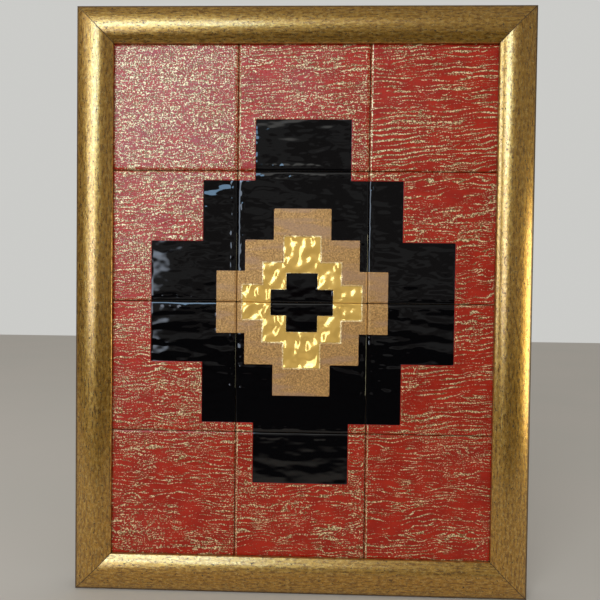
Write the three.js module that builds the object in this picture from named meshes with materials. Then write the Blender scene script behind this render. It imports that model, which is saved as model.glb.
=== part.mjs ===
// A framed panel of glazed tiles, to hang flat on a wall. Millimetres, +Z up, the front faces -Y.
// The origin is the middle of the flat back of the top rail, on the wall.
import * as THREE from 'three';
import { mergeVertices } from 'three/addons/utils/BufferGeometryUtils.js';

// Tiles: three columns and four rows, butted with a narrow joint.
const COLUMNS = 3;
const ROWS = 4;
const TILE = 150.6;
const TILE_THICK = 7;
const TILE_CORNER = 1.5;
const TILE_JOINT = 0.6;

// The glazed face falls away in a shallow round along its rim, and ends in a small round edge.
const RIM_IN = 3.4;
const RIM_DEEP = 0.95;
const EDGE_RADIUS = 0.5;

// Moulding section: u runs from the outer edge inwards, h from the wall to the front.
const RAIL_WIDTH = 41.5;
const CREST_U = 23;
const CREST_H = 28.8;
const OUTER_CROWN_RADIUS = 50;
const ARRIS_RADIUS = 2.4;
const CREASE_U = 37.8;
const CREASE_DROP = 4.85;
const LIP_STEP = 0.25;
const LIP_FALL = 1.5;
const LIP_RADIUS = 0.7;

// The lip of the moulding covers the rim of the tiled field by this much.
const SIGHT_COVER = 7;
const FIELD_CLEARANCE = 0.7;
const TILE_FACE_H = 18;
const LIP_TO_TILE = 0.5;

// Gap between pieces that touch, and between the mitred ends of the rails.
const CONTACT_GAP = 0.3;
const BOARD_THICK = 8;
const BOARD_CLEARANCE = 0.6;

const PITCH = TILE + TILE_JOINT;
const FIELD_WIDTH = COLUMNS * PITCH - TILE_JOINT;
const FIELD_HEIGHT = ROWS * PITCH - TILE_JOINT;
const OUTER_WIDTH = FIELD_WIDTH - 2 * SIGHT_COVER + 2 * RAIL_WIDTH;
const OUTER_HEIGHT = FIELD_HEIGHT - 2 * SIGHT_COVER + 2 * RAIL_WIDTH;
const RABBET_U = RAIL_WIDTH - SIGHT_COVER - FIELD_CLEARANCE;
const RABBET_H = TILE_FACE_H + LIP_TO_TILE;
const TOP_Z = RABBET_U / 2;
const CENTRE_Z = TOP_Z - OUTER_HEIGHT / 2;

const ARC_STEPS = 6;
const CORNER_STEPS = 2;
const EDGE_STEPS = 2;
const RIM_STEPS = 3;

const MATERIALS = {
  gilt: { color: 0x9c7a3c, roughness: 0.42, metalness: 0.65 },
  red: { color: 0x99352a, roughness: 0.35, metalness: 0.0 },
  black: { color: 0x17181b, roughness: 0.06, metalness: 0.0 },
  board: { color: 0x8a6b4a, roughness: 0.85, metalness: 0.0 },
};

function namedMesh(name, geometry, finish) {
  const mesh = new THREE.Mesh(geometry, new THREE.MeshStandardMaterial(MATERIALS[finish]));
  mesh.name = name;
  return mesh;
}

// Joins the doubled points of an extrusion, so that its body is closed.
function closed(geometry) {
  geometry.deleteAttribute('normal');
  geometry.deleteAttribute('uv');
  const merged = mergeVertices(geometry, 1e-4);
  merged.computeVertexNormals();
  return merged;
}

// Calls move(point) on each point of the geometry and keeps what it changes.
function movePoints(geometry, move) {
  const places = geometry.attributes.position;
  const point = new THREE.Vector3();
  for (let i = 0; i < places.count; i += 1) {
    point.fromBufferAttribute(places, i);
    move(point);
    places.setXYZ(i, point.x, point.y, point.z);
  }
  return geometry;
}

// A crown between two arcs, a small round arris outside, a flat lip inside, and the rabbet behind it.
function mouldingSection() {
  const outerCentreH = CREST_H - OUTER_CROWN_RADIUS;
  const arrisReach = OUTER_CROWN_RADIUS - ARRIS_RADIUS;
  const arrisRun = CREST_U - ARRIS_RADIUS;
  const arrisH = outerCentreH + Math.sqrt(arrisReach ** 2 - arrisRun ** 2);
  const turn = Math.PI / 2 + Math.asin(arrisRun / arrisReach);

  const creaseRun = CREASE_U - CREST_U;
  const innerRadius = (creaseRun ** 2 + CREASE_DROP ** 2) / (2 * CREASE_DROP);
  const innerEnd = Math.PI / 2 - Math.asin(creaseRun / innerRadius);
  const lipStartH = CREST_H - CREASE_DROP - LIP_STEP;
  const lipEndH = lipStartH - LIP_FALL;

  const section = new THREE.Shape();
  section.moveTo(RABBET_U, 0);
  section.lineTo(0, 0);
  section.lineTo(0, arrisH);
  section.absarc(ARRIS_RADIUS, arrisH, ARRIS_RADIUS, Math.PI, turn, true);
  section.absarc(CREST_U, outerCentreH, OUTER_CROWN_RADIUS, turn, Math.PI / 2, true);
  section.absarc(CREST_U, CREST_H - innerRadius, innerRadius, Math.PI / 2, innerEnd, true);
  section.lineTo(CREASE_U, lipStartH);
  section.lineTo(RAIL_WIDTH - LIP_RADIUS, lipEndH);
  section.absarc(RAIL_WIDTH - LIP_RADIUS, lipEndH - LIP_RADIUS, LIP_RADIUS, Math.PI / 2, 0, true);
  section.lineTo(RAIL_WIDTH, RABBET_H);
  section.lineTo(RABBET_U, RABBET_H);
  section.closePath();
  return section;
}

// One rail along X, its outer edge at Z = 0 and its back at Y = 0, both ends mitred at 45 degrees.
function railGeometry(length) {
  const geometry = new THREE.ExtrudeGeometry(mouldingSection(), {
    depth: 1,
    steps: 1,
    bevelEnabled: false,
    curveSegments: ARC_STEPS,
  });
  const halfLength = length / 2 - CONTACT_GAP * Math.SQRT1_2;
  movePoints(geometry, (point) => {
    const side = point.z > 0.5 ? 1 : -1;
    point.z = side * (halfLength - point.x);
  });
  const toPanel = new THREE.Matrix4().makeBasis(
    new THREE.Vector3(0, 0, -1),
    new THREE.Vector3(0, -1, 0),
    new THREE.Vector3(-1, 0, 0),
  );
  return closed(geometry.applyMatrix4(toPanel));
}

function rail(name, length, x, z, turn) {
  const mesh = namedMesh(name, railGeometry(length), 'gilt');
  mesh.position.set(x, 0, z);
  mesh.rotation.y = turn;
  return mesh;
}

// How far the glazed face lies below the middle of the tile, at this distance in from its side.
function faceDrop(inset) {
  const rimRadius = (RIM_IN ** 2 + RIM_DEEP ** 2) / (2 * RIM_DEEP);
  const rimRun = Math.max(RIM_IN - inset, 0);
  const edgeRun = Math.max(EDGE_RADIUS - inset, 0);
  const rimDrop = rimRadius - Math.sqrt(rimRadius ** 2 - rimRun ** 2);
  return rimDrop + EDGE_RADIUS - Math.sqrt(EDGE_RADIUS ** 2 - edgeRun ** 2);
}

// Each layer of a tile is its square outline, drawn in by inset at height h above the tile's back.
function tileLayers() {
  const insets = [];
  for (let i = 0; i < EDGE_STEPS; i += 1) {
    insets.push(EDGE_RADIUS * (1 - Math.cos((i / EDGE_STEPS) * (Math.PI / 2))));
  }
  for (let i = 0; i <= RIM_STEPS; i += 1) {
    insets.push(EDGE_RADIUS + (i / RIM_STEPS) * (RIM_IN - EDGE_RADIUS));
  }
  const face = insets.map((inset) => ({ h: TILE_THICK - faceDrop(inset), inset }));
  return [{ h: 0, inset: 0 }, ...face];
}

function tileOutline() {
  const half = TILE / 2;
  const middle = half - TILE_CORNER;
  const outline = new THREE.Shape();
  [[1, 1], [-1, 1], [-1, -1], [1, -1]].forEach(([sideX, sideY], quarter) => {
    const start = quarter * (Math.PI / 2);
    outline.absarc(sideX * middle, sideY * middle, TILE_CORNER, start, start + Math.PI / 2, false);
  });
  outline.closePath();
  return outline;
}

// A square tile with its back at Y = 0 and its glazed face, with a falling rim, at -Y.
function tileGeometry() {
  const layers = tileLayers();
  const geometry = new THREE.ExtrudeGeometry(tileOutline(), {
    depth: layers.length - 1,
    steps: layers.length - 1,
    bevelEnabled: false,
    curveSegments: CORNER_STEPS,
  });
  movePoints(geometry, (point) => {
    const layer = layers[Math.round(point.z)];
    const drawnIn = 1 - layer.inset / (TILE / 2);
    point.set(point.x * drawnIn, point.y * drawnIn, layer.h);
  });
  return closed(geometry.rotateX(Math.PI / 2));
}

// The two tiles in the middle carry most of the black figure; the rest are mostly red.
function tileFinish(row, column) {
  const middleColumn = column === (COLUMNS + 1) / 2;
  const middleRow = row === ROWS / 2 || row === ROWS / 2 + 1;
  return middleColumn && middleRow ? 'black' : 'red';
}

function tile(row, column) {
  const mesh = namedMesh(`tile_r${row}c${column}`, tileGeometry(), tileFinish(row, column));
  mesh.position.set(
    (column - (COLUMNS + 1) / 2) * PITCH,
    -(TILE_FACE_H - TILE_THICK),
    CENTRE_Z - (row - (ROWS + 1) / 2) * PITCH,
  );
  return mesh;
}

function backingBoard() {
  const width = OUTER_WIDTH - 2 * RABBET_U - 2 * BOARD_CLEARANCE;
  const height = OUTER_HEIGHT - 2 * RABBET_U - 2 * BOARD_CLEARANCE;
  const mesh = namedMesh('backing_board', new THREE.BoxGeometry(width, BOARD_THICK, height), 'board');
  const frontH = TILE_FACE_H - TILE_THICK - CONTACT_GAP;
  mesh.position.set(0, -(frontH - BOARD_THICK / 2), CENTRE_Z);
  return mesh;
}

const panel = new THREE.Group();
const frame = new THREE.Group();
frame.add(rail('rail_top', OUTER_WIDTH, 0, TOP_Z, 0));
frame.add(rail('rail_bottom', OUTER_WIDTH, 0, TOP_Z - OUTER_HEIGHT, Math.PI));
frame.add(rail('rail_left', OUTER_HEIGHT, -OUTER_WIDTH / 2, CENTRE_Z, -Math.PI / 2));
frame.add(rail('rail_right', OUTER_HEIGHT, OUTER_WIDTH / 2, CENTRE_Z, Math.PI / 2));
panel.add(frame);

const field = new THREE.Group();
for (let row = 1; row <= ROWS; row += 1) {
  for (let column = 1; column <= COLUMNS; column += 1) {
    field.add(tile(row, column));
  }
}
panel.add(field);
panel.add(backingBoard());

export default panel;
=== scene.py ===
"""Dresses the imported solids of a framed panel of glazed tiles, made to hang flat on a wall.

Places are metres in the frame of the solids: the front faces -Y, +X is to the right and +Z is up. A name that
ends in _mm holds millimetres, measured over the face of one piece.
"""

import logging
import math
from collections.abc import Iterator, Sequence
from dataclasses import dataclass, field
from enum import Enum
from functools import cache

import bpy
import numpy as np
from mathutils import Matrix, Vector


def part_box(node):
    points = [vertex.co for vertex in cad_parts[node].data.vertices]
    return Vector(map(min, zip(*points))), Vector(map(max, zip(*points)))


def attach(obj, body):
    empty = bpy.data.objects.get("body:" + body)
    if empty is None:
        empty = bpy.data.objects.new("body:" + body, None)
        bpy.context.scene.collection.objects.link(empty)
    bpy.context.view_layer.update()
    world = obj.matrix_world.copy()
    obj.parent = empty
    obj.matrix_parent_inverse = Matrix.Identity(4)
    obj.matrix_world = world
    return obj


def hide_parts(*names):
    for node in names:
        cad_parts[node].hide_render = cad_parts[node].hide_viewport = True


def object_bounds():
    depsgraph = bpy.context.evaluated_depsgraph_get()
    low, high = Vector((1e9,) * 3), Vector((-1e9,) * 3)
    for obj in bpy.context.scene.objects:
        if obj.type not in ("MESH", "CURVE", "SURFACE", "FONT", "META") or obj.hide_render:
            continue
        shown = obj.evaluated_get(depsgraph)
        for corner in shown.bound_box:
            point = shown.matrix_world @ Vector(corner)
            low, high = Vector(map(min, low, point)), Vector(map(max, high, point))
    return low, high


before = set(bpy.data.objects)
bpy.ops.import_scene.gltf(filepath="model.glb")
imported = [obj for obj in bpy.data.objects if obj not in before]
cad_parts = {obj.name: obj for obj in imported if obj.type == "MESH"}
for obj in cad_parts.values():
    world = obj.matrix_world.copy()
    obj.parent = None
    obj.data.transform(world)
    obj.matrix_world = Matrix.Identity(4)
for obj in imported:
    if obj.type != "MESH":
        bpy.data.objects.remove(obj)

CAD_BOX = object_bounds()
MM = 0.001
TILE_LOW, TILE_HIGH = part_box("tile_r1c1")
TILE_MM = (TILE_HIGH.x - TILE_LOW.x) / MM
MAIN_SPACING_MM = 5.7
FINE_SPACING_MM = 3.0
OUTLINE_MM = 1.9
MARGIN_MM = 0.9

LOG = logging.getLogger("tile_panel")

Colour = tuple[float, float, float]
Socket = bpy.types.NodeSocket
Value = Socket | float | Colour
Array = np.ndarray


class Slot(Enum):
    """Material slots of the record."""

    GILT = "gilt_moulding"
    RED = "red_glaze"
    BLACK = "black_glaze"
    BOARD = "board"


class Side(Enum):
    """Rails of the moulding, with the turn about Y that takes the top rail to each place, in degrees."""

    TOP = 0
    RIGHT = 90
    BOTTOM = 180
    LEFT = -90

    @property
    def node(self) -> str:
        """Name of the rail's solid."""
        return f"rail_{self.name.lower()}"


def linked(data: bpy.types.ID) -> bpy.types.Object:
    """Puts an object into the scene, under the name of what it shows.

    Args:
        data: its mesh, light or camera.

    Returns:
        The object.
    """
    made = bpy.data.objects.new(data.name, data)
    bpy.context.scene.collection.objects.link(made)
    return made


def stand_in(mesh: bpy.types.Mesh, node: str, slot: Slot) -> bpy.types.Object:
    """Shows a mesh instead of a solid.

    Args:
        mesh: the mesh, already where the solid is.
        node: name of the solid.
        slot: its material slot; not used.

    Returns:
        The piece.
    """
    piece = linked(mesh)
    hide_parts(node)
    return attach(piece, "root")


def keep_fields(mesh: bpy.types.Mesh, fields: dict[str, Array]) -> None:
    """Keeps numbers on the points of a mesh, for its finish to read.

    Args:
        mesh: the mesh.
        fields: the numbers by name.
    """
    for name, values in fields.items():
        store = mesh.attributes.new(name, "FLOAT", "POINT")
        store.data.foreach_set("value", values.reshape(-1).astype(np.float32))


class NoiseSheet:
    """Smooth seeded noise over a plane: random values on a lattice, joined by cubic B-splines."""

    SIZE = 64
    GAIN = 2.2

    def __init__(self, seed: int) -> None:
        """Draws the lattice from its seed."""
        self.values = np.random.default_rng(seed).uniform(-1.0, 1.0, (self.SIZE, self.SIZE))

    @staticmethod
    def weights(part: Array) -> tuple[Array, ...]:
        """Weights of the four lattice lines round a point, from its place between the middle two."""
        rest = 1 - part
        return (
            rest**3 / 6,
            (3 * part**3 - 6 * part**2 + 4) / 6,
            (3 * rest**3 - 6 * rest**2 + 4) / 6,
            part**3 / 6,
        )

    def at(self, x: Array, z: Array) -> Array:
        """Reads the noise.

        Args:
            x: places across, in lattice steps.
            z: places up, in lattice steps.

        Returns:
            Values of about -1 to 1.
        """
        x, z = np.broadcast_arrays(x, z)
        column, row = np.floor(x).astype(int), np.floor(z).astype(int)
        across, up = self.weights(x - column), self.weights(z - row)
        total = np.zeros(x.shape)
        for i in range(4):
            for j in range(4):
                total += across[i] * up[j] * self.values[(row + j) % self.SIZE, (column + i) % self.SIZE]
        return total * self.GAIN


@dataclass(frozen=True)
class Spread:
    """Points over one tile, in millimetres from its centre, with the seed of the tile's noise."""

    seed: int
    x: Array
    z: Array

    @property
    def half(self) -> float:
        """Half the tile's side."""
        return float(self.x.max())

    def noise(self, offset: int, across: float, up: float) -> Array:
        """Noise of about -1 to 1 over the points; the offset tells one from another of the same tile."""
        return NoiseSheet(self.seed + offset).at(self.x / across, self.z / up)


@dataclass(frozen=True)
class SteppedFigure:
    """A figure of centred blocks that step in from the middle outwards, in millimetres."""

    half_widths: tuple[float, ...]
    half_heights: tuple[float, ...]

    def outside(self, x: Array, z: Array) -> Array:
        """Distance of points outside the figure, with square corners and negative inside."""
        blocks = zip(self.half_widths, self.half_heights)
        return np.minimum.reduce([np.maximum(abs(x) - a, abs(z) - b) for a, b in blocks])


@dataclass(frozen=True)
class PanelFigure:
    """The generic stepped figure: a black ground, a sanded gold band, lustre and a black core."""

    ground: SteppedFigure = SteppedFigure((175.0, 115.0, 55.0), (70.0, 140.0, 210.0))
    sand: SteppedFigure = SteppedFigure((99.0, 66.0, 33.0), (36.0, 72.0, 108.0))
    lustre: SteppedFigure = SteppedFigure((69.0, 45.0, 21.0), (20.0, 46.0, 76.0))
    core: SteppedFigure = SteppedFigure((36.0, 18.0), (15.0, 34.0))

    def fields(self, x: Array, z: Array) -> dict[str, Array]:
        """Distances outside each finish of the figure.

        Args:
            x: places across from the panel's centre, in millimetres.
            z: places up from the panel's centre, in millimetres.

        Returns:
            One array for each finish and for the whole figure, negative inside.
        """
        ground, core = self.ground.outside(x, z), self.core.outside(x, z)
        sand, lustre = self.sand.outside(x, z), self.lustre.outside(x, z)
        return {
            "figure_mm": ground,
            "black_mm": np.minimum(np.maximum(ground, -sand), core),
            "sand_mm": np.maximum(sand, -lustre),
            "lustre_mm": np.maximum(lustre, -core),
        }


@dataclass(frozen=True)
class StrandLayer:
    """Gold strands that sway across a tile and run into each other, in millimetres."""

    spacing: float
    half_width: float
    share: float
    rise: float
    sway: float
    tangle: float
    run: float
    sway_steps: tuple[float, float] = (27.0, 11.0)
    tangle_steps: tuple[float, float] = (9.0, 4.4)
    patch_steps: tuple[float, float] = (13.0, 9.0)
    patch_share: float = 0.55
    run_height: float = 0.55
    thickness: tuple[float, float] = (-1.6, 1.9)

    def turns(self, spread: Spread, offset: int) -> Array:
        """Field that is a whole number along each strand.

        Args:
            spread: points of the tile.
            offset: which noises of the tile it reads.

        Returns:
            Strands counted from the middle of the tile.
        """
        sway = self.sway * spread.noise(offset, *self.sway_steps)
        tangle = self.tangle * spread.noise(offset + 1, *self.tangle_steps)
        return (spread.z - self.rise * spread.x + sway + tangle) / self.spacing

    def half(self, spread: Spread, offset: int) -> Array:
        """Half width of the strands, below zero where they break off.

        Args:
            spread: points of the tile.
            offset: which noises of the tile it reads.

        Returns:
            Half widths.
        """
        runs = spread.noise(offset + 2, self.run, self.run_height * self.spacing)
        patches = spread.noise(offset + 3, *self.patch_steps)
        return self.half_width * np.clip(self.share + runs + self.patch_share * patches, *self.thickness)


@dataclass(frozen=True)
class StrandPattern:
    """Main and fine strands of one tile."""

    main: StrandLayer
    fine: StrandLayer

    @classmethod
    def drawn(cls, seed: int, faint: float, dense: float) -> "StrandPattern":
        """Draws how the strands of one tile run.

        Args:
            seed: number that fixes the pattern.
            faint: how thin and broken they are, from 0 to 1.
            dense: how closely they crowd, from 0 to 1.

        Returns:
            The pattern.
        """
        random = np.random.default_rng(seed)
        tangle = random.uniform(1.0, 2.6)
        rise = random.uniform(0.0, 0.09)
        main = StrandLayer(
            spacing=random.uniform(5.2, 6.2),
            half_width=0.54 - 0.08 * faint,
            share=0.92 - 0.3 * faint - 0.1 * dense,
            rise=rise,
            sway=random.uniform(1.6, 3.2),
            tangle=tangle,
            run=random.uniform(10.0, 17.0),
        )
        fine = StrandLayer(
            spacing=random.uniform(2.7, 3.3),
            half_width=0.4,
            share=0.1 + 0.85 * dense,
            rise=rise,
            sway=2.2,
            tangle=tangle + 0.8,
            run=6.0,
        )
        return cls(main, fine)

    def fields(self, spread: Spread) -> dict[str, Array]:
        """Turns and half widths of both layers over a tile, by name."""
        return {
            "main_turns": self.main.turns(spread, 0),
            "main_half": self.main.half(spread, 0),
            "fine_turns": self.fine.turns(spread, 4),
            "fine_half": self.fine.half(spread, 4),
        }


@dataclass(frozen=True)
class Glaze:
    """Relief of the glaze over a tile, in millimetres."""

    pillow: float = 0.22
    tilt: float = 0.005
    ripples: tuple[tuple[float, ...], ...] = ((0.21, 15.0, 5.4), (0.07, 7.5, 3.0), (0.02, 4.5, 2.1))
    red_share: float = 0.3
    bead: float = 0.2
    bead_inset: float = 5.6
    bead_width: float = 1.7
    bead_drops: tuple[float, float, float] = (0.55, 0.9, 1.4)
    drop_step: float = 3.4
    strand_height: float = 0.12
    strand_inset: float = 2.1
    strand_soft: float = 0.9
    rim_half: float = 0.75
    outline_half: float = 0.7
    black_soft: float = 1.2
    lustre_soft: float = 1.5
    lustre_waves: tuple[tuple[float, ...], ...] = ((1.35, 4.6, 6.2), (0.18, 2.8, 3.2))

    @staticmethod
    def waves(spread: Spread, offset: int, layers: tuple[tuple[float, ...], ...]) -> Array:
        """Waves over the tile, in layers.

        Args:
            spread: points of the tile.
            offset: noise of the first layer.
            layers: height, step across and step up of each.

        Returns:
            Heights of the waves.
        """
        total = np.zeros(spread.x.shape)
        for k, (height, across, up) in enumerate(layers):
            total += height * spread.noise(offset + k, across, up)
        return total

    def raised(self, spread: Spread, fields: dict[str, Array]) -> Array:
        """Share of each point that lies on a gold strand.

        Args:
            spread: points of the tile.
            fields: fields of the tile.

        Returns:
            Values from 0 to 1.
        """
        half, x, z = spread.half, spread.x, spread.z
        apart = abs((fields["main_turns"] + 0.5) % 1 - 0.5) * MAIN_SPACING_MM
        rim = np.minimum.reduce([half + x, half - x - self.strand_inset, half - z])
        strand = np.maximum(fields["main_half"] - apart, self.rim_half - abs(rim - self.strand_inset))
        strand = np.minimum(strand, fields["figure_mm"] - MARGIN_MM)
        outline = self.outline_half - abs(fields["figure_mm"] - OUTLINE_MM)
        return np.clip(0.5 + np.maximum(strand, outline) / self.strand_soft, 0, 1)

    def relief(self, spread: Spread, fields: dict[str, Array], inset: Array) -> Array:
        """Height of the glaze over the flat face of its tile.

        Args:
            spread: points of the tile.
            fields: fields of the tile.
            inset: distance from the tile's outline.

        Returns:
            Heights in millimetres.
        """
        half, x, z = spread.half, spread.x, spread.z
        tilt_x, tilt_z = np.random.default_rng(spread.seed).uniform(-self.tilt, self.tilt, 2)
        black = np.clip(0.5 - fields["black_mm"] / self.black_soft, 0, 1)
        lustre = np.clip(0.5 - fields["lustre_mm"] / self.lustre_soft, 0, 1)
        bead = np.exp(-(((inset - self.bead_inset) / self.bead_width) ** 2))
        usual, change, most = self.bead_drops
        drops = np.clip(usual + change * spread.noise(9, self.drop_step, self.drop_step), 0, most)
        height = self.pillow * (1 - (x / half) ** 2) * (1 - (z / half) ** 2) + tilt_x * x + tilt_z * z
        height += black * (self.waves(spread, 0, self.ripples) + self.bead * bead * drops)
        height += (1 - black) * (1 - lustre) * self.red_share * self.waves(spread, 3, self.ripples)
        height += lustre * self.waves(spread, 6, self.lustre_waves)
        height += (1 - black) * self.raised(spread, fields) * self.strand_height
        return height * np.clip(inset / (self.bead_inset - self.bead_width), 0, 1)


@dataclass
class TileField:
    """The twelve glazed tiles: sizes read from their solids, meshes of their glaze, and their finish."""

    columns: int = 3
    rows: int = 4
    rim_in_mm: float = 3.4
    rim_deep_mm: float = 0.95
    edge_mm: float = 0.5
    corner_mm: float = 1.5
    edge_steps: int = 3
    rim_steps: int = 6
    rim_zone_mm: float = 7.8
    rim_step_mm: float = 0.6
    middle_step_mm: float = 1.5
    up_step_mm: float = 0.66
    seed: int = 41
    crowding: tuple[tuple[float, ...], ...] = (
        (1.0, 0.4, 0.0),
        (0.7, 0.1, 0.08),
        (0.42, 0.0, 0.03),
        (0.34, 0.2, 0.05),
    )
    crowd_change: float = 0.3
    crowd_steps: tuple[float, float] = (26.0, 20.0)
    figure: PanelFigure = PanelFigure()
    glaze: Glaze = Glaze()
    centre: Vector = field(init=False)

    def __post_init__(self) -> None:
        """Finds the middle of the field from its corner tiles."""
        low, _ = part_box(f"tile_r{self.rows}c1")
        _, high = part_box(f"tile_r1c{self.columns}")
        self.centre = (low + high) / 2

    def line(self, half: float, step: float) -> Array:
        """Places of the mesh lines along one side of a tile.

        Args:
            half: half the tile's side, in millimetres.
            step: distance between the lines in the middle.

        Returns:
            Places from -half to half, closest together on the rim.
        """
        turns = np.linspace(0, math.pi / 2, self.edge_steps + 1)
        edge = self.edge_mm * (1 - np.cos(turns))
        rim = np.linspace(self.edge_mm, self.rim_in_mm, self.rim_steps + 1)[1:]
        step_in = min(step, self.rim_step_mm)
        zone = np.arange(self.rim_in_mm + step_in, self.rim_zone_mm, step_in)
        side = half - np.concatenate([edge, rim, zone])
        inner = side[-1]
        middle = np.linspace(-inner, inner, max(2, round(2 * inner / step)) + 1)
        return np.concatenate([-side[:-1], middle, side[:-1][::-1]])

    def drop(self, inset: Array) -> Array:
        """How far the face falls away towards its rim.

        Args:
            inset: distance from the tile's outline, in millimetres.

        Returns:
            Millimetres below the flat face.
        """
        radius = (self.rim_in_mm**2 + self.rim_deep_mm**2) / (2 * self.rim_deep_mm)
        run = np.clip(self.rim_in_mm - inset, 0, None)
        edge = np.clip(self.edge_mm - inset, 0, None)
        round_edge = self.edge_mm - np.sqrt(np.clip(self.edge_mm**2 - edge**2, 0, None))
        return radius - np.sqrt(radius**2 - run**2) + round_edge

    def rounded(self, x: Array, z: Array, half: float) -> tuple[Array, Array]:
        """Draws the corners of a square sheet in to a round.

        Args:
            x: places across.
            z: places up.
            half: half the side of the square.

        Returns:
            The places, moved near the corners.
        """
        straight = half - self.corner_mm
        over_x, over_z = (np.clip(abs(v) - straight, 0, None) for v in (x, z))
        longest = np.maximum(over_x, over_z)
        length = np.maximum(np.hypot(over_x, over_z), 1e-9)
        pull = np.where(np.minimum(over_x, over_z) > 0, longest / length, 1.0)
        moved = [
            np.sign(v) * (np.minimum(abs(v), straight) + over * pull)
            for v, over in ((x, over_x), (z, over_z))
        ]
        return moved[0], moved[1]

    def sheet(self, row: int, column: int) -> tuple[Array, Array, Array, dict[str, Array]]:
        """Works out the glazed face of one tile.

        Args:
            row: row of the tile, from the top.
            column: column of the tile, from the left.

        Returns:
            Places across and up from the tile's centre, heights over the flat face, and the fields.
        """
        low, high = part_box(f"tile_r{row}c{column}")
        half = (high.x - low.x) / 2 / MM
        coarse = 1.0
        across = self.line(half, self.middle_step_mm * coarse)
        x, z = np.meshgrid(across, self.line(half, self.up_step_mm * coarse))
        middle = (low + high) / 2 - self.centre
        spread = Spread(self.seed + 100 * row + 10 * column, x, z)
        dense = self.crowding[row - 1][column - 1]
        pattern = StrandPattern.drawn(spread.seed, float(row == self.rows), dense)
        fields = self.figure.fields(x + middle.x / MM, z + middle.z / MM) | pattern.fields(spread)
        inset = np.minimum(half - abs(x), half - abs(z))
        height = self.glaze.relief(spread, fields, inset) - self.drop(inset)
        fields |= {"left_mm": half + x, "top_mm": half - z, "inset_mm": inset}
        fields["crowd"] = np.clip(dense + self.crowd_change * spread.noise(8, *self.crowd_steps), 0, 1)
        x, z = self.rounded(x, z, half)
        return x, z, height, fields

    def tile(self, row: int, column: int) -> bpy.types.Object:
        """Builds one tile: its glazed face, rounded rim, sides and back.

        Args:
            row: row of the tile, from the top.
            column: column of the tile, from the left.

        Returns:
            The piece, in place of its solid.
        """
        node = f"tile_r{row}c{column}"
        low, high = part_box(node)
        x, z, height, fields = self.sheet(row, column)
        middle = (low + high) / 2
        front = np.stack([middle.x + x * MM, low.y - height * MM, middle.z + z * MM], axis=-1).reshape(-1, 3)
        index = np.arange(x.size).reshape(x.shape)
        loop = np.concatenate([index[0, :-1], index[:-1, -1], index[-1, :0:-1], index[:0:-1, 0]])
        back = front[loop]
        back[:, 1] = high.y
        corners = (index[:-1, :-1], index[:-1, 1:], index[1:, 1:], index[1:, :-1])
        quads = np.stack(corners, axis=-1).reshape(-1, 4).tolist()
        behind = np.arange(len(loop)) + x.size
        sides = np.stack([loop, behind, np.roll(behind, -1), np.roll(loop, -1)], axis=-1).tolist()
        mesh = bpy.data.meshes.new(f"glazed_{node}")
        mesh.from_pydata(np.concatenate([front, back]).tolist(), [], quads + sides + [behind[::-1].tolist()])
        smooth = np.ones(len(mesh.polygons), bool)
        smooth[-1] = False
        mesh.polygons.foreach_set("use_smooth", smooth)
        source = np.concatenate([index.reshape(-1), loop])
        keep_fields(mesh, {name: values.reshape(-1)[source] for name, values in fields.items()})
        mostly_black = (fields["black_mm"] < 0).mean() > 0.5
        return stand_in(mesh, node, Slot.BLACK if mostly_black else Slot.RED)

    def build(self, glaze: bpy.types.Material) -> Iterator[bpy.types.Object]:
        """Builds the tiles.

        Args:
            glaze: finish of every tile.

        Yields:
            Each tile.
        """
        for row in range(1, self.rows + 1):
            for column in range(1, self.columns + 1):
                piece = self.tile(row, column)
                piece.data.materials.append(glaze)
                yield piece


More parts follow.
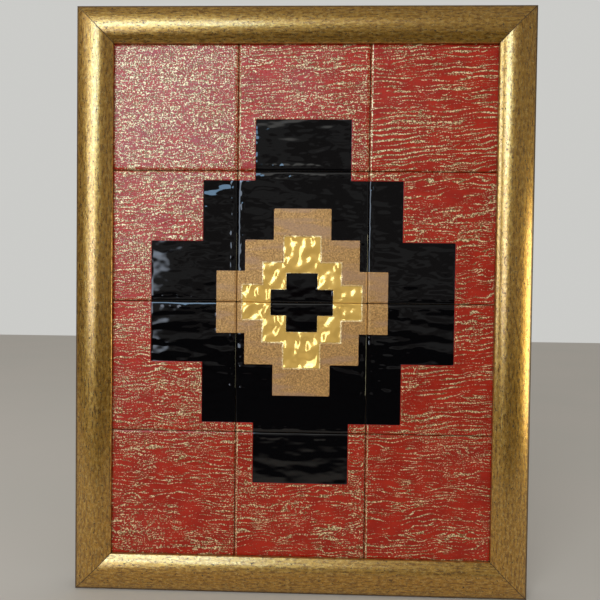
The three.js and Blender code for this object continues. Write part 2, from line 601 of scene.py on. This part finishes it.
@dataclass
class Moulding:
    """The four mitred rails: the section of their solids drawn finer, with the unevenness of hand gilding."""

    crest_u: float = 23.0
    crest_h: float = 28.8
    outer_radius: float = 50.0
    arris_radius: float = 2.4
    crease_u: float = 37.8
    crease_drop: float = 4.85
    lip_slope_deg: float = 29.0
    lip_radius: float = 1.5
    rabbet_h: float = 18.5
    rabbet_u: float = 33.8
    width: float = 41.5
    arc_step: float = 0.8
    station_step: float = 5.0
    end_step: float = 0.15
    unevenness: float = 0.07
    uneven_steps: tuple[float, float] = (14.0, 5.0)
    uneven_above: float = 24.0
    solid_gap: float = 0.3
    mitre_gap: float = 0.08
    seed: int = 7

    @staticmethod
    def arc(centre: tuple[float, float], radius: float, start: float, end: float, step: float) -> list:
        """Points of an arc.

        Args:
            centre: its centre.
            radius: its radius.
            start: angle of its first point, in radians.
            end: angle of its last point.
            step: longest distance between points.

        Returns:
            Points (u, h), both ends included.
        """
        count = max(3, math.ceil(abs(end - start) * radius / step))
        angles = np.linspace(start, end, count + 1)
        return [(centre[0] + radius * math.cos(a), centre[1] + radius * math.sin(a)) for a in angles]

    def front(self) -> list[tuple[float, float]]:
        """Section of the gilded front, from the outer side over the crown to the lip.

        Returns:
            Points (u, h).
        """
        quarter = math.pi / 2
        reach, run = self.outer_radius - self.arris_radius, self.crest_u - self.arris_radius
        outer_h = self.crest_h - self.outer_radius
        arris_h = outer_h + math.sqrt(reach**2 - run**2)
        turn = quarter + math.asin(run / reach)
        crease_run = self.crease_u - self.crest_u
        inner = (crease_run**2 + self.crease_drop**2) / (2 * self.crease_drop)
        inner_end = quarter - math.asin(crease_run / inner)
        lip_h = self.crest_h - self.crease_drop
        slope = math.radians(self.lip_slope_deg)
        lip_run = self.width - self.lip_radius * (1 - math.sin(slope)) - self.crease_u
        lip_fall = lip_run * math.tan(slope)
        round_middle = (self.width - self.lip_radius, lip_h - lip_fall - self.lip_radius * math.cos(slope))
        side = [(0.0, h) for h in np.linspace(0, arris_h, 8)[:-1]]
        arris = self.arc((self.arris_radius, arris_h), self.arris_radius, math.pi, turn, self.arc_step / 2)
        outer = self.arc((self.crest_u, outer_h), self.outer_radius, turn, quarter, self.arc_step)
        crown = self.arc((self.crest_u, self.crest_h - inner), inner, quarter, inner_end, self.arc_step)
        lip_flat = [(self.crease_u + lip_run * t, lip_h - lip_fall * t) for t in (0.25, 0.5, 0.75)]
        lip = self.arc(round_middle, self.lip_radius, quarter - slope, 0.0, self.arc_step / 2)
        return side + arris + outer[1:] + crown[1:] + lip_flat + lip

    def rail(self, side: Side) -> bpy.types.Object:
        """Builds one rail in place of its solid.

        Args:
            side: which rail.

        Returns:
            The piece.
        """
        low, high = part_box(side.node)
        middle = (low + high) / 2
        (edge_x, edge_z), length = {
            Side.TOP: ((middle.x, high.z), high.x - low.x),
            Side.RIGHT: ((high.x, middle.z), high.z - low.z),
            Side.BOTTOM: ((middle.x, low.z), high.x - low.x),
            Side.LEFT: ((low.x, middle.z), high.z - low.z),
        }[side]
        mesh = self.mesh(side, length / MM)
        turn = Matrix.Rotation(math.radians(side.value), 4, "Y")
        mesh.transform(Matrix.Translation((edge_x, 0, edge_z)) @ turn)
        return stand_in(mesh, side.node, Slot.GILT)

    def mesh(self, side: Side, length: float) -> bpy.types.Mesh:
        """Makes the mesh of one rail as the top rail, its outer edge at Z = 0 and its back at Y = 0.

        Args:
            side: which rail, for its name and its place in the noise and the grain.
            length: its length, in millimetres.

        Returns:
            The mesh, with the finishes of its faces and the fields that they read.
        """
        front = self.front()
        rabbet = [(self.width, self.rabbet_h), (self.rabbet_u, self.rabbet_h), (self.rabbet_u, 0.0)]
        section = np.array(front + rabbet)
        around = np.concatenate([[0], np.cumsum(np.hypot(*np.diff(section, axis=0).T))])
        reach = length / 2 + (self.solid_gap - self.mitre_gap) * math.sqrt(0.5)
        near = 1 - self.end_step / reach
        middle = np.linspace(-1, 1, max(4, round(length / self.station_step)) + 1)[1:-1]
        stations = np.concatenate([[-1, -near], middle, [near, 1]])[:, None]
        along = stations * (reach - section[:, 0])
        around, u, h = (np.broadcast_to(v, along.shape) for v in (around, section[:, 0], section[:, 1]))
        leafed = np.clip((np.arange(len(section)) < len(front)) * (h - self.uneven_above) / 2, 0, 1)
        step_along, step_around = self.uneven_steps
        sheet = NoiseSheet(self.seed + side.value % 360)
        wear = self.unevenness * leafed * sheet.at(along / step_along, around / step_around)
        h = h - abs(wear * np.clip((1 - abs(stations)) * 20, 0, 1))
        index = np.arange(along.size).reshape(along.shape)
        after = np.roll(index, -1, axis=1)
        quads = np.stack([index[:-1], after[:-1], after[1:], index[1:]], axis=-1)
        ends = [index[0, ::-1].tolist(), index[-1].tolist()]
        mesh = bpy.data.meshes.new(f"gilt_{side.node}")
        places = np.stack([-along, -h, -u], axis=-1).reshape(-1, 3) * MM
        mesh.from_pydata(places.tolist(), [], quads.reshape(-1, 4).tolist() + ends)
        bare = np.zeros(quads.shape[:2], int)
        bare[:, len(front) :] = 1
        slots = np.concatenate([bare.reshape(-1), [0, 0]])
        mesh.polygons.foreach_set("material_index", slots)
        smooth = slots == 0
        smooth[-2:] = False
        mesh.polygons.foreach_set("use_smooth", smooth)
        grain = np.stack([along, around, np.full(along.shape, 137.0 * side.value)], axis=-1)
        store = mesh.attributes.new("grain_mm", "FLOAT_VECTOR", "POINT")
        store.data.foreach_set("vector", grain.reshape(-1).astype(np.float32))
        keep_fields(mesh, {"mitre_mm": abs(along).max(axis=0) - abs(along), "across_mm": u})
        return mesh

    def build(self, gilt: bpy.types.Material, wood: bpy.types.Material) -> Iterator[bpy.types.Object]:
        """Builds the rails.

        Args:
            gilt: finish of the front, the outer side and the mitred ends.
            wood: finish of the back and the rabbet.

        Yields:
            Each rail.
        """
        for side in Side:
            piece = self.rail(side)
            piece.data.materials.append(gilt)
            piece.data.materials.append(wood)
            yield piece


class Shader:
    """Adds nodes to a material, a world or a node group and joins them."""

    MIX_SOCKETS = {"RGBA": (6, 7, 2), "FLOAT": (2, 3, 0)}

    def __init__(self, tree: bpy.types.NodeTree) -> None:
        """Takes the tree that the nodes go in."""
        self.tree = tree

    def node(self, kind: str, **settings: object) -> bpy.types.Node:
        """Adds a node.

        Args:
            kind: its type.
            settings: its settings by name.

        Returns:
            The node.
        """
        made = self.tree.nodes.new(kind)
        for name, value in settings.items():
            setattr(made, name, value)
        return made

    def give(self, socket: Socket, value: Value) -> None:
        """Joins a socket to another, or sets its plain value.

        Args:
            socket: socket to feed.
            value: what feeds it.
        """
        if isinstance(value, Socket):
            self.tree.links.new(value, socket)
        elif isinstance(value, tuple) and len(socket.default_value) == 4:
            socket.default_value = (*value, 1.0)
        else:
            socket.default_value = value

    def feed(self, node: bpy.types.Node, **values: Value) -> Socket:
        """Feeds the inputs of a node.

        Args:
            node: the node.
            values: its inputs, with underscores for the spaces in their names.

        Returns:
            Its first output.
        """
        for name, value in values.items():
            self.give(node.inputs[name.replace("_", " ")], value)
        return node.outputs[0]

    def maths(self, operation: str, *values: Value) -> Socket:
        """Adds a Math node.

        Args:
            operation: what it works out.
            values: its inputs.

        Returns:
            Its result.
        """
        made = self.node("ShaderNodeMath", operation=operation)
        for socket, value in zip(made.inputs, values):
            self.give(socket, value)
        return made.outputs[0]

    def span(
        self, value: Value, low: float, high: float, to_low: float = 0.0, to_high: float = 1.0
    ) -> Socket:
        """Maps a range to another with soft ends.

        Args:
            value: what is mapped.
            low: start of the range.
            high: end of the range.
            to_low: result at its start.
            to_high: result at its end.

        Returns:
            The result.
        """
        made = self.node("ShaderNodeMapRange", interpolation_type="SMOOTHSTEP")
        for socket, given in zip(made.inputs, (value, low, high, to_low, to_high)):
            self.give(socket, given)
        return made.outputs[0]

    def mix(self, kind: str, share: Value, first: Value, second: Value) -> Socket:
        """Mixes two colours or two numbers.

        Args:
            kind: RGBA for colours, FLOAT for numbers.
            share: share of the second.
            first: first colour or number.
            second: second colour or number.

        Returns:
            The mixed colour or number.
        """
        made = self.node("ShaderNodeMix", data_type=kind)
        one, other, result = self.MIX_SOCKETS[kind]
        for place, value in ((0, share), (one, first), (other, second)):
            self.give(made.inputs[place], value)
        return made.outputs[result]

    def blend(self, share: Value, first: Value, second: Value) -> Socket:
        """Mixes two colours by the share of the second."""
        return self.mix("RGBA", share, first, second)

    def level(self, share: Value, first: Value, second: Value) -> Socket:
        """Mixes two numbers by the share of the second."""
        return self.mix("FLOAT", share, first, second)

    def within(self, value: Value, middle: float, half: float) -> Socket:
        """How far inside a band a value lies, from the band's middle and half its width."""
        apart = self.maths("ABSOLUTE", self.maths("SUBTRACT", value, middle))
        return self.maths("SUBTRACT", half, apart)

    def noise(self, place: Socket, scale: Value, detail: float = 2.0, roughness: float = 0.5) -> Socket:
        """Adds noise round 0.5; detail counts its finer layers and roughness is their weight."""
        made = self.node("ShaderNodeTexNoise")
        return self.feed(made, Vector=place, Scale=scale, Detail=detail, Roughness=roughness)

    def stretched(self, place: Socket, scale: Colour) -> Socket:
        """Scales a place by axis.

        Args:
            place: the place.
            scale: factor for each axis.

        Returns:
            The scaled place.
        """
        made = self.node("ShaderNodeVectorMath", operation="MULTIPLY")
        self.give(made.inputs[0], place)
        made.inputs[1].default_value = scale
        return made.outputs[0]

    def field(self, name: str) -> Socket:
        """Number that the mesh keeps under this name."""
        return self.node("ShaderNodeAttribute", attribute_name=name).outputs["Fac"]

    def rail_place(self) -> Socket:
        """Place on a rail in millimetres: along it, round its section, and a third number of its own."""
        return self.node("ShaderNodeAttribute", attribute_name="grain_mm").outputs["Vector"]

    def place(self) -> Socket:
        """Place on the piece, in metres."""
        return self.node("ShaderNodeTexCoord").outputs["Object"]

    def parts(self, place: Socket) -> tuple[Socket, ...]:
        """Parts of a place across, away and up."""
        made = self.node("ShaderNodeSeparateXYZ")
        self.feed(made, Vector=place)
        return tuple(made.outputs)

    def group(self, tree: bpy.types.NodeTree, **values: Value) -> Socket:
        """Places a node group with its own values. Returns: its output."""
        return self.feed(self.node("ShaderNodeGroup", node_tree=tree), **values)

    def bump(self, height: Socket, distance: float) -> Socket:
        """Normal of fine relief, from its height of 0 to 1 and the height in metres of 1."""
        return self.feed(self.node("ShaderNodeBump"), Strength=1.0, Distance=distance, Height=height)


class Paint(Shader):
    """A new material and its surface."""

    def __init__(self, name: str) -> None:
        """Starts the material of this name."""
        self.made = bpy.data.materials.new(name)
        self.made.use_nodes = True
        super().__init__(self.made.node_tree)

    def dress(self, **values: Value) -> bpy.types.Material:
        """Feeds the inputs of the surface. Returns: the material."""
        self.feed(self.tree.nodes["Principled BSDF"], **values)
        return self.made


def new_group(name: str, output: str, *inputs: str) -> tuple[Shader, Socket, list[Socket]]:
    """Starts a node group that reads a place.

    Args:
        name: its name.
        output: name of the number that it puts out.
        inputs: names of the numbers that it takes besides the place.

    Returns:
        The shader that adds nodes to it, the socket of its output, and those of its inputs, place first.
    """
    tree = bpy.data.node_groups.new(name, "ShaderNodeTree")
    tree.interface.new_socket("Place", in_out="INPUT", socket_type="NodeSocketVector")
    for label in inputs:
        tree.interface.new_socket(label, in_out="INPUT", socket_type="NodeSocketFloat")
    tree.interface.new_socket(output, in_out="OUTPUT", socket_type="NodeSocketFloat")
    shader = Shader(tree)
    entry = shader.node("NodeGroupInput")
    leave = shader.node("NodeGroupOutput")
    return shader, leave.inputs[output], [entry.outputs[label] for label in ("Place", *inputs)]


@cache
def speckle_group() -> bpy.types.NodeTree:
    """Small worn spots of uneven size.

    Returns:
        A group with a place, a scale and a cover in, and a mask out.
    """
    shader, mask, (place, scale, cover) = new_group("worn_speckles", "Mask", "Scale", "Cover")
    spots = shader.noise(place, scale, detail=3.0, roughness=0.6)
    over = shader.maths("SUBTRACT", spots, shader.maths("SUBTRACT", 1.0, cover))
    shader.give(mask, shader.span(over, 0.0, 0.05))
    return shader.tree


@cache
def grain_group() -> bpy.types.NodeTree:
    """Fine granular tone.

    Returns:
        A group with a place and a scale in, and a tone round 0.5 out.
    """
    shader, tone, (place, scale) = new_group("fine_grain", "Tone", "Scale")
    tones = []
    for factor, weight in ((1.0, 0.6), (0.43, 0.4)):
        layer = shader.noise(place, shader.maths("MULTIPLY", scale, factor))
        tones.append(shader.maths("MULTIPLY", layer, weight))
    shader.give(tone, shader.span(shader.maths("ADD", *tones), 0.32, 0.68))
    return shader.tree


@dataclass(frozen=True)
class TileFinish:
    """Finish of the tiles: red with gold strands, and the figure in black, sanded gold and lustre."""

    red: Colour = (0.48, 0.025, 0.009)
    red_deep: Colour = (0.36, 0.016, 0.006)
    red_thin: Colour = (0.30, 0.035, 0.006)
    strand: Colour = (1.0, 0.84, 0.51)
    strand_ochre: Colour = (0.22, 0.12, 0.03)
    # Painted shade along the edges of the raised gold strands.
    strand_edge_shade: Colour = (0.10, 0.035, 0.010)
    black: Colour = (0.0015, 0.0015, 0.002)
    sand: Colour = (0.84, 0.50, 0.18)
    sand_dark: Colour = (0.30, 0.15, 0.05)
    sand_lilac: Colour = (0.46, 0.28, 0.18)
    lustre: Colour = (1.0, 0.66, 0.17)
    seam: Colour = (1.0, 0.80, 0.42)
    rim_strands: tuple[tuple[str, float, float], ...] = (
        ("left_mm", 2.1, 0.55),
        ("left_mm", TILE_MM - 4.8, -0.05),
        ("top_mm", 2.2, 0.1),
        ("top_mm", TILE_MM - 2.8, -0.2),
    )

    def strands(self, shader: Shader, place: Socket, grit: Socket) -> Socket:
        """Works out how far inside the gold strands each point lies.

        Args:
            shader: shader of the tiles.
            place: place on the piece.
            grit: coarse granular tone, from 0 to 1.

        Returns:
            Millimetres, negative outside the strands.
        """
        found = []
        for layer, spacing in (("main", MAIN_SPACING_MM), ("fine", FINE_SPACING_MM)):
            apart = shader.maths("PINGPONG", shader.field(f"{layer}_turns"), 0.5)
            apart = shader.maths("MULTIPLY", apart, spacing)
            found.append(shader.maths("SUBTRACT", shader.field(f"{layer}_half"), apart))
        wander = shader.maths("MULTIPLY_ADD", shader.noise(place, 210.0), 1.8, -0.9)
        for name, inset, half in self.rim_strands:
            side = shader.within(shader.field(name), inset, half)
            found.append(shader.maths("MULTIPLY_ADD", wander, 1.3, side))
        value = found[0]
        for other in found[1:]:
            value = shader.maths("MAXIMUM", value, other)
        figure = shader.field("figure_mm")
        value = shader.maths("MINIMUM", value, shader.maths("SUBTRACT", figure, MARGIN_MM))
        outline = shader.maths("MULTIPLY_ADD", wander, 1.2, shader.within(figure, OUTLINE_MM, 0.1))
        value = shader.maths("MAXIMUM", value, outline)
        reach = shader.maths("MULTIPLY_ADD", shader.field("crowd"), 1.7, 0.55)
        return shader.maths("MULTIPLY_ADD", shader.maths("SUBTRACT", grit, 0.5), reach, value)

    def material(self) -> bpy.types.Material:
        """Builds the material.

        Returns:
            The material.
        """
        shader = Paint("glaze")
        place = shader.place()
        fine = shader.group(grain_group(), Place=place, Scale=900.0)
        tone = shader.maths("MULTIPLY_ADD", shader.field("crowd"), -0.01, shader.noise(place, 740.0, 1.0))
        dots = shader.span(tone, 0.44, 0.57)
        grit = shader.span(shader.noise(place, 680.0, 1.0), 0.34, 0.66)
        cloud = shader.noise(shader.stretched(place, (40.0, 40.0, 70.0)), 1.0, 3.0)
        dust = shader.group(speckle_group(), Place=place, Scale=760.0, Cover=0.36)

        inside = self.strands(shader, place, grit)
        gold = shader.span(inside, -0.15, 0.15)
        clear = shader.span(shader.field("figure_mm"), 0.8, 1.4)
        dust = shader.maths("MULTIPLY", shader.maths("MULTIPLY", dust, 0.6), clear)
        gold = shader.maths("MAXIMUM", gold, dust)
        black = shader.span(shader.field("black_mm"), 0.12, -0.12)
        sand = shader.span(shader.field("sand_mm"), 0.15, -0.15)
        lustre = shader.span(shader.field("lustre_mm"), 0.12, -0.12)
        seam = shader.maths("ABSOLUTE", shader.maths("ADD", shader.field("lustre_mm"), -0.4))
        seam = shader.span(shader.maths("ADD", seam, grit), 1.15, 0.9)

        red = shader.blend(shader.span(cloud, 0.3, 0.7), self.red_deep, self.red)
        red = shader.blend(shader.span(shader.field("inset_mm"), 1.5, 0.3), red, self.red_thin)
        strand = shader.blend(dots, self.strand_ochre, self.strand)
        # Painted shade: a dark rim round each strand, where its raised edge would fall into shade.
        strand = shader.blend(shader.span(inside, 0.3, -0.1), strand, self.strand_edge_shade)
        sifted = shader.maths("MULTIPLY_ADD", fine, 0.55, shader.maths("MULTIPLY", dots, 0.35))
        sanded = shader.blend(sifted, self.sand_dark, self.sand)
        bands = shader.noise(shader.stretched(place, (14.0, 14.0, 75.0)), 1.0, 3.0)
        sanded = shader.blend(shader.span(bands, 0.5, 0.66, 0.0, 0.6), sanded, self.sand_lilac)

        colour = shader.blend(gold, red, strand)
        rough = shader.level(gold, 0.24, 0.34)
        metal = shader.level(gold, 0.0, 0.3)
        for mask, tint, roughness, metallic in (
            (sand, sanded, 0.5, 0.4),
            (lustre, self.lustre, 0.16, 0.35),
            (seam, self.seam, 0.35, 0.4),
            (black, self.black, 0.035, 0.0),
        ):
            colour = shader.blend(mask, colour, tint)
            rough = shader.level(mask, rough, roughness)
            metal = shader.level(mask, metal, metallic)
        gloss = shader.maths("MULTIPLY_ADD", shader.field("crowd"), 0.30, 0.31)
        gloss = shader.level(black, gloss, 0.5)
        matt = shader.maths("SUBTRACT", 1.0, shader.maths("MAXIMUM", black, lustre))
        height = shader.maths("MULTIPLY", shader.maths("MULTIPLY_ADD", gold, 1.2, fine), matt)
        normal = shader.bump(height, 0.00016)
        return shader.dress(
            Base_Color=colour, Roughness=rough, Metallic=metal, Specular_IOR_Level=gloss, Normal=normal
        )


@dataclass(frozen=True)
class GiltFinish:
    """Finish of the moulding: worn antique gold over a brown ground under clear varnish; painted shade at the
    outer edge.
    """

    leaf: Colour = (0.62, 0.335, 0.047)
    leaf_pale: Colour = (0.88, 0.62, 0.20)
    leaf_dull: Colour = (0.29, 0.14, 0.020)
    ground: Colour = (0.02, 0.009, 0.003)
    # Dark brown paint of the outer side; over the front's outer edge it also serves as painted shade.
    side: Colour = (0.045, 0.02, 0.006)

    def material(self) -> bpy.types.Material:
        """Builds the material.

        Returns:
            The material.
        """
        shader = Paint("antique_gilt")
        place = shader.rail_place()
        streak = shader.noise(shader.stretched(place, (0.09, 0.42, 1.0)), 1.0, 4.0, 0.6)
        mottle = shader.noise(shader.stretched(place, (0.20, 0.34, 1.0)), 1.0, 4.0, 0.72)
        dots, flecks = (
            shader.group(speckle_group(), Place=shader.stretched(place, scale), Scale=1.0, Cover=cover)
            for scale, cover in (((0.27, 0.34, 1.0), 0.385), ((0.32, 0.60, 1.0), 0.42))
        )
        spots = shader.maths("MAXIMUM", dots, shader.maths("MULTIPLY", flecks, 0.45))
        fine = shader.group(grain_group(), Place=place, Scale=0.85)

        leaf = shader.blend(shader.span(streak, 0.30, 0.62), self.leaf_dull, self.leaf)
        leaf = shader.blend(shader.span(mottle, 0.48, 0.62, 0.0, 0.5), leaf, self.leaf_pale)
        leaf = shader.blend(shader.span(mottle, 0.46, 0.36, 0.0, 0.45), leaf, self.leaf_dull)
        leaf = shader.blend(shader.maths("MULTIPLY", fine, 0.35), leaf, self.leaf_dull)
        bare = shader.maths("MULTIPLY", spots, 0.95)
        colour = shader.blend(bare, leaf, self.ground)
        # Painted shade: the front darkens to the side's brown over its last 4.5 mm towards the outer edge.
        # This is partly the side's dark paint carried over and partly shade where the section curves away.
        # The mitre line is a dark joint.
        outer = shader.maths("MULTIPLY", shader.span(shader.field("across_mm"), 4.5, 1.2), 0.92)
        dark = shader.maths("MAXIMUM", outer, shader.span(shader.field("mitre_mm"), 0.7, 0.35))
        colour = shader.blend(dark, colour, self.side)
        # worn covers the bare spots and the dark band, so the painted shade also loses the leaf's metal and
        # varnish.
        worn = shader.maths("MAXIMUM", bare, dark)
        height = shader.maths("MULTIPLY_ADD", fine, 0.6, shader.maths("MULTIPLY", streak, 0.5))
        height = shader.maths("SUBTRACT", height, shader.maths("MULTIPLY", spots, 0.5))
        return shader.dress(
            Base_Color=colour,
            Metallic=shader.level(worn, 0.74, 0.0),
            Roughness=shader.level(worn, shader.span(streak, 0.3, 0.7, 0.25, 0.33), 0.7),
            Coat_Weight=shader.level(worn, 0.5, 0.03),
            Coat_IOR=1.8,
            Coat_Roughness=0.21,
            Normal=shader.bump(height, 0.00009),
        )


@dataclass(frozen=True)
class WoodFinish:
    """Finish of the bare back of the rails: planed softwood with its grain along the length."""

    early: Colour = (0.56, 0.40, 0.24)
    late: Colour = (0.34, 0.20, 0.10)

    def material(self) -> bpy.types.Material:
        """Builds the material.

        Returns:
            The material.
        """
        shader = Paint("bare_softwood")
        place = shader.rail_place()
        rings = shader.noise(shader.stretched(place, (0.006, 0.22, 1.0)), 1.0, 4.0, 0.6)
        fibre = shader.noise(shader.stretched(place, (0.03, 1.4, 1.0)), 1.0, 3.0)
        colour = shader.blend(shader.span(rings, 0.42, 0.6), self.early, self.late)
        colour = shader.blend(shader.maths("MULTIPLY", fibre, 0.4), colour, self.late)
        fine = shader.group(grain_group(), Place=place, Scale=1.4)
        return shader.dress(
            Base_Color=colour,
            Roughness=shader.span(fibre, 0.3, 0.7, 0.6, 0.8),
            Normal=shader.bump(shader.maths("ADD", fibre, fine), 0.0002),
        )


@dataclass(frozen=True)
class BoardFinish:
    """Finish of the backing board: brown pressed fibres."""

    light: Colour = (0.36, 0.235, 0.13)
    dark: Colour = (0.20, 0.115, 0.055)

    def material(self) -> bpy.types.Material:
        """Builds the material.

        Returns:
            The material.
        """
        shader = Paint("pressed_board")
        place = shader.place()
        fibres = shader.noise(shader.stretched(place, (420.0, 420.0, 150.0)), 1.0, 4.0, 0.65)
        cloud = shader.noise(place, 9.0, 3.0)
        chips = shader.group(speckle_group(), Place=place, Scale=520.0, Cover=0.34)
        colour = shader.blend(shader.span(fibres, 0.3, 0.7), self.dark, self.light)
        colour = shader.blend(shader.maths("MULTIPLY", shader.span(cloud, 0.4, 0.7), 0.35), colour, self.dark)
        colour = shader.blend(shader.maths("MULTIPLY", chips, 0.5), colour, self.dark)
        fine = shader.group(grain_group(), Place=place, Scale=1500.0)
        return shader.dress(
            Base_Color=colour,
            Roughness=shader.span(fibres, 0.3, 0.7, 0.7, 0.85),
            Normal=shader.bump(shader.maths("ADD", fibres, fine), 0.00025),
        )


@dataclass(frozen=True)
class BackingBoard:
    """The board behind the tiles, which keeps its solid's shape."""

    node: str = "backing_board"

    def dress(self, finish: bpy.types.Material) -> bpy.types.Object:
        """Gives the board its finish.

        Args:
            finish: the material.

        Returns:
            The board.
        """
        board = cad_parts[self.node]
        board.data.materials.clear()
        board.data.materials.append(finish)
        return board


@dataclass(frozen=True)
class Eye:
    """The camera, placed from the middle of the tile faces, as the joints in the view fix it."""

    right_mm: float = 11.4
    away_mm: float = 558.1
    up_mm: float = 12.8
    tilt_deg: float = 1.00
    yaw_deg: float = -1.38
    roll_deg: float = -0.71
    lens_mm: float = 29.04
    sensor_mm: float = 36.0

    def build(self, middle: Vector) -> bpy.types.Object:
        """Builds the camera.

        Args:
            middle: middle of the tile faces.

        Returns:
            The camera.
        """
        data = bpy.data.cameras.new("eye")
        data.lens, data.sensor_width = self.lens_mm, self.sensor_mm
        data.clip_start = 0.01
        camera = linked(data)
        place = middle + Vector((self.right_mm, -self.away_mm, self.up_mm)) * MM
        pose = Matrix.Translation(place)
        for degrees, axis in ((90 - self.tilt_deg, "X"), (-self.yaw_deg, "Y"), (-self.roll_deg, "Z")):
            pose = pose @ Matrix.Rotation(math.radians(degrees), 4, axis)
        camera.matrix_world = pose
        bpy.context.scene.camera = camera
        return camera


@dataclass(frozen=True)
class Card:
    """An upright soft light in front of the panel or beside it, in metres, turned about Z to face it."""

    name: str
    middle: tuple[float, float, float]
    width: float
    height: float
    radiance: float
    colour: Colour
    turn_deg: float = 0.0
    lights: bool = True
    mirrored: bool = True

    def build(self) -> bpy.types.Object:
        """Builds the light.

        Returns:
            The light.
        """
        data = bpy.data.lights.new(self.name, "AREA")
        data.shape = "RECTANGLE"
        data.size, data.size_y = self.width, self.height
        data.color = self.colour
        data.energy = self.radiance * math.pi * self.width * self.height
        light = linked(data)
        light.visible_camera = False
        light.visible_diffuse = self.lights
        light.visible_glossy = self.mirrored
        turn = Matrix.Rotation(math.radians(self.turn_deg), 4, "Z")
        upright = Matrix.Rotation(math.radians(90), 4, "X")
        light.matrix_world = Matrix.Translation(self.middle) @ turn @ upright
        return light


@dataclass(frozen=True)
class Oval:
    """A soft bright or dark oval of the room, placed by the direction that it lies in, across and up."""

    middle: tuple[float, float]
    reach: tuple[float, float]
    colour: Colour

    def share(self, shader: Shader, across: Socket, up: Socket) -> Socket:
        """Marks the oval.

        Args:
            shader: shader of the room.
            across: part of the direction that runs across.
            up: part of the direction that runs up.

        Returns:
            Share of the oval, from 0 to 1.
        """
        squares = []
        for part, middle, reach in zip((across, up), self.middle, self.reach):
            off = shader.maths("MULTIPLY_ADD", part, 1 / reach, -middle / reach)
            squares.append(shader.maths("MULTIPLY", off, off))
        return shader.span(shader.maths("ADD", *squares), 1.35, 0.7)


@dataclass(frozen=True)
class Studio:
    """The pale floor, the soft room light with what the glaze mirrors of it, and the cards."""

    floor: Colour = (0.62, 0.61, 0.59)
    floor_far: Colour = (0.03, 0.03, 0.035)
    room: Colour = (0.50, 0.47, 0.43)
    seen: Colour = (0.60, 0.60, 0.58)
    dim: Colour = (0.12, 0.11, 0.105)
    lit: Colour = (0.25, 0.245, 0.24)
    ovals: tuple[Oval, ...] = (
        Oval((-0.48, 0.0), (0.15, 0.6), (3.5, 3.9, 4.6)),
        Oval((-0.46, 0.23), (0.13, 0.26), (3.9, 4.6, 5.6)),
        Oval((-0.85, 0.51), (1.0, 0.17), (1.3, 1.28, 1.22)),
        Oval((-0.02, -0.30), (0.19, 0.27), (0.02, 0.006, 0.006)),
        Oval((-1.0, -0.1), (0.32, 0.9), (0.02, 0.006, 0.006)),
    )
    floor_side: float = 6.0
    near: float = 0.30
    far: float = 0.50
    cards: tuple[Card, ...] = (
        Card("window", (-1.775, -4.5, 2.12), 2.29, 1.86, 6.9, (0.40, 0.68, 1.0), lights=False),
        Card("soft_key", (-0.77, -1.5, 0.475), 1.16, 0.95, 4.6, (1.0, 0.97, 0.93), mirrored=False),
        Card("warm_side", (1.07, -0.35, -0.38), 0.33, 0.55, 8.0, (1.0, 0.92, 0.56), 65.0, lights=False),
    )

    def world(self) -> None:
        """Makes the room light: pale to the eye, and dim and uneven where glossy glaze mirrors it."""
        world = bpy.data.worlds.new("room")
        bpy.context.scene.world = world
        world.use_nodes = True
        shader = Shader(world.node_tree)
        world.node_tree.nodes.clear()
        toward = shader.node("ShaderNodeTexCoord").outputs["Generated"]
        patches = shader.noise(shader.stretched(toward, (7.0, 7.0, 11.0)), 1.0, 2.0)
        mirrored = shader.blend(shader.span(patches, 0.465, 0.535), self.dim, self.lit)
        across, _, up = shader.parts(toward)
        for oval in self.ovals:
            mirrored = shader.blend(oval.share(shader, across, up), mirrored, oval.colour)
        path = shader.node("ShaderNodeLightPath")
        light = shader.blend(path.outputs["Is Glossy Ray"], self.room, mirrored)
        light = shader.blend(path.outputs["Is Camera Ray"], light, self.seen)
        back = shader.feed(shader.node("ShaderNodeBackground"), Color=light)
        shader.give(shader.node("ShaderNodeOutputWorld").inputs["Surface"], back)

    def ground(self) -> bpy.types.Object:
        """Makes the floor under the panel; its far part is painted dark for glossy rays only, a painted dark
        reflection in the glaze.

        Returns:
            The floor.
        """
        low, _ = CAD_BOX
        half = self.floor_side / 2
        mesh = bpy.data.meshes.new("floor")
        corners = [(-half, -half), (half, -half), (half, half), (-half, half)]
        mesh.from_pydata([(x, y, low.z - 0.0002) for x, y in corners], [], [(0, 1, 2, 3)])
        floor = linked(mesh)
        shader = Paint("floor")
        _, away, _ = shader.parts(shader.place())
        past = shader.span(shader.maths("MULTIPLY", away, -1.0), self.near, self.far)
        mirror = shader.node("ShaderNodeLightPath").outputs["Is Glossy Ray"]
        pale = shader.blend(shader.span(shader.noise(shader.place(), 3.0), 0.2, 0.8), self.floor, self.seen)
        # Painted dark reflection: past near to far metres in front of the panel, glossy rays see the floor as
        # floor_far.
        colour = shader.blend(shader.maths("MULTIPLY", past, mirror), pale, self.floor_far)
        mesh.materials.append(shader.dress(Base_Color=colour, Roughness=0.8, Specular_IOR_Level=0.0))
        return floor

    def build(self) -> None:
        """Builds the studio."""
        self.world()
        self.ground()
        for card in self.cards:
            card.build()
        view = bpy.context.scene.view_settings
        view.view_transform = "Standard"
        view.look = "None"


def report(pieces: Sequence[bpy.types.Object]) -> None:
    """Logs each piece.

    Args:
        pieces: the dressed pieces.
    """
    for piece in pieces:
        LOG.info("%s: %d faces", piece.name, len(piece.data.polygons))
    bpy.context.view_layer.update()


def main() -> None:
    """Builds the camera, the panel and the studio, in that order."""
    logging.basicConfig(level=logging.INFO, format="%(message)s")
    tiles = TileField()
    Eye().build(Vector((tiles.centre.x, TILE_LOW.y, tiles.centre.z)))
    pieces = list(tiles.build(TileFinish().material()))
    pieces += Moulding().build(GiltFinish().material(), WoodFinish().material())
    pieces.append(BackingBoard().dress(BoardFinish().material()))
    Studio().build()
    report(pieces)


if __name__ == "__main__":
    main()
